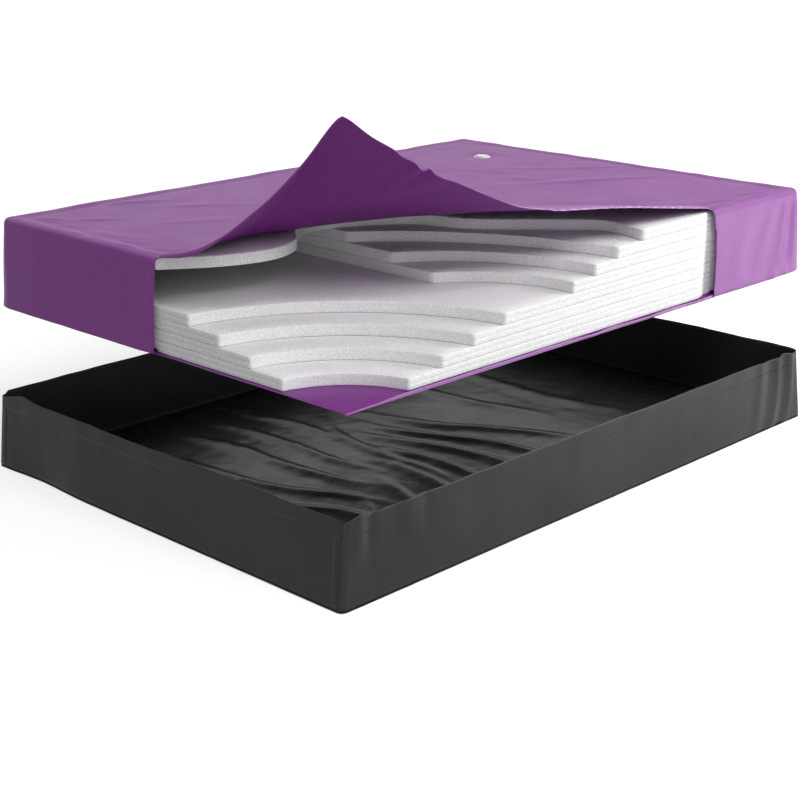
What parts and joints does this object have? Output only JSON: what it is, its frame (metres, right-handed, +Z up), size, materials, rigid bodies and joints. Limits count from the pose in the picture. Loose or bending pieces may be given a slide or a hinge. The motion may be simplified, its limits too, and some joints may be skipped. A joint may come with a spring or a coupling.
{
  "type": "waterbed",
  "caption": "Cutaway water mattress of violet vinyl with a turned-back top corner and stepped fiber layers, raised above its open black safety liner.",
  "frame": {"origin": "middle of the liner's footprint, on the floor", "axes": "+Z up, +Y towards the head of the bed, +X to the right seen from the foot; the cutaway corner is at +X, -Y"},
  "size_m": [1.5764, 2.1864, 1.2227],
  "materials": {
    "bladder_vinyl": "soft semi-gloss violet vinyl film",
    "fiber": "white needled polyester fiber batting",
    "valve_plastic": "white soft moulded vinyl",
    "washer_rubber": "white rubber",
    "liner_vinyl": "semi-gloss black vinyl film"
  },
  "bodies": {
    "liner": {"liner_floor": "liner_vinyl", "liner_foot_wall": "liner_vinyl", "liner_head_wall": "liner_vinyl", "liner_left_wall": "liner_vinyl", "liner_right_wall": "liner_vinyl", "liner_rim_hem": "liner_vinyl", "liner_corner_laps": "liner_vinyl"},
    "mattress": {"bladder_bottom_sheet": "bladder_vinyl", "bladder_foot_wall": "bladder_vinyl", "bladder_right_wall": "bladder_vinyl", "bladder_left_wall": "bladder_vinyl", "bladder_head_wall": "bladder_vinyl", "bladder_corner_laps": "bladder_vinyl", "bladder_top_sheet": "bladder_vinyl", "bladder_top_flap": "bladder_vinyl", "fiber_layer_1": "fiber", "fiber_layer_2": "fiber", "fiber_layer_3": "fiber", "fiber_layer_4": "fiber", "fiber_layer_5": "fiber", "fiber_layer_6": "fiber", "fiber_layer_7": "fiber", "fiber_layer_8": "fiber", "valve_flange": "valve_plastic"},
    "valve_plug": {"valve_plug": "valve_plastic"},
    "valve_washer": {"valve_washer": "washer_rubber"},
    "valve_cap": {"valve_cap": "valve_plastic"}
  },
  "joints": [
    {"name": "mattress_lift", "type": "slide", "parent": "liner", "child": "mattress", "axis": [0, 0, 1], "range_m": [-0.5157, 0]},
    {"name": "cap_lift", "type": "slide", "parent": "mattress", "child": "valve_washer", "axis": [0, 0, 1], "range_m": [0, 0.05]},
    {"name": "cap_turn", "type": "hinge", "parent": "valve_washer", "child": "valve_cap", "pos_m": [-0.427, 0.8, 0.804], "axis": [0, 0, 1], "continuous": true},
    {"name": "plug_pull", "type": "slide", "parent": "mattress", "child": "valve_plug", "axis": [0, 0, 1], "range_m": [0, 0.03]}
  ],
  "couplings": [
    {"joint": "plug_pull", "follows": "cap_lift", "ratio": 0.6}
  ]
}
